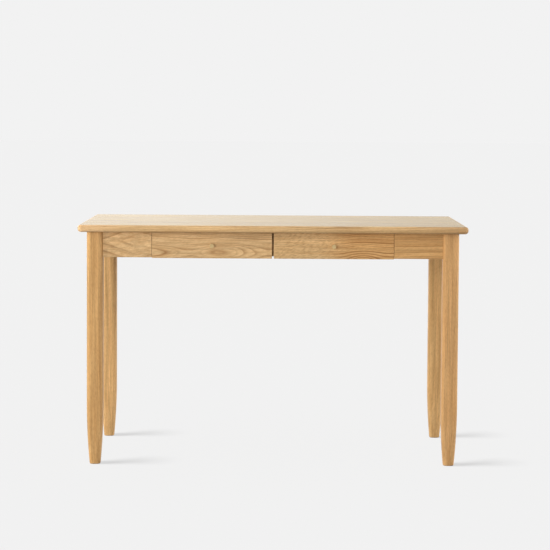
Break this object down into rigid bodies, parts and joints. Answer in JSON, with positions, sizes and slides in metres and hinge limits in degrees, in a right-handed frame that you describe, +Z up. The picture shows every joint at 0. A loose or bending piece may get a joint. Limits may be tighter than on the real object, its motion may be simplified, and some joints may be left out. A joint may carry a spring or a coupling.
{
  "type": "writing desk with drawers",
  "caption": "Oak writing desk with a round-edged top, tapered rounded legs and shallow drawers side by side, each with a small brass knob.",
  "frame": {"origin": "on the floor, under the middle of the desk", "axes": "+X to the sitter's right along the desk, +Y from the sitter to the rear, +Z up; drawers open towards -Y"},
  "size_m": [1.2, 0.6, 0.745],
  "materials": {
    "oak_top": "pale oak, satin oil",
    "oak_leg": "pale oak, satin oil",
    "oak_apron": "pale oak, satin oil",
    "oak_drawer_front": "pale oak, satin oil",
    "drawer_box_wood": "pale hardwood, clear satin",
    "drawer_bottom_panel": "thin plywood, clear satin",
    "frame_wood": "planed hardwood, bare",
    "beech_dowel": "fluted dowel, bare",
    "satin_brass": "satin",
    "zinc_steel": "zinc plated"
  },
  "bodies": {
    "desk_frame": {"centre_partition": "frame_wood", "corner_block_screws": "zinc_steel", "drawer_stop_screws": "zinc_steel", "front_left_corner_block": "frame_wood", "front_left_leg": "oak_leg", "front_rail": "frame_wood", "front_right_corner_block": "frame_wood", "front_right_leg": "oak_leg", "guide_dowels": "beech_dowel", "guide_screws": "zinc_steel", "left_drawer_guide": "frame_wood", "left_drawer_inner_runner": "frame_wood", "left_drawer_outer_runner": "frame_wood", "left_drawer_stop": "frame_wood", "left_front_apron": "oak_apron", "left_side_apron": "oak_apron", "rear_apron": "oak_apron", "rear_left_corner_block": "frame_wood", "rear_left_leg": "oak_leg", "rear_right_corner_block": "frame_wood", "rear_right_leg": "oak_leg", "right_drawer_guide": "frame_wood", "right_drawer_inner_runner": "frame_wood", "right_drawer_outer_runner": "frame_wood", "right_drawer_stop": "frame_wood", "right_front_apron": "oak_apron", "right_side_apron": "oak_apron", "runner_screws": "zinc_steel", "tabletop": "oak_top", "tabletop_clip_screws": "zinc_steel", "tabletop_clips": "zinc_steel", "tabletop_rail_screws": "zinc_steel"},
    "left_drawer": {"left_drawer_front": "oak_drawer_front", "left_drawer_box_front": "drawer_box_wood", "left_drawer_back": "drawer_box_wood", "left_drawer_left_side": "drawer_box_wood", "left_drawer_right_side": "drawer_box_wood", "left_drawer_bottom": "drawer_bottom_panel", "left_drawer_front_screws": "zinc_steel", "left_drawer_knob": "satin_brass", "left_drawer_knob_screw": "zinc_steel"},
    "right_drawer": {"right_drawer_front": "oak_drawer_front", "right_drawer_box_front": "drawer_box_wood", "right_drawer_back": "drawer_box_wood", "right_drawer_left_side": "drawer_box_wood", "right_drawer_right_side": "drawer_box_wood", "right_drawer_bottom": "drawer_bottom_panel", "right_drawer_front_screws": "zinc_steel", "right_drawer_knob": "satin_brass", "right_drawer_knob_screw": "zinc_steel"}
  },
  "joints": [
    {"name": "left_drawer_slide", "type": "slide", "parent": "desk_frame", "child": "left_drawer", "axis": [0, -1, 0], "range_m": [0, 0.305]},
    {"name": "right_drawer_slide", "type": "slide", "parent": "desk_frame", "child": "right_drawer", "axis": [0, -1, 0], "range_m": [0, 0.305]}
  ]
}
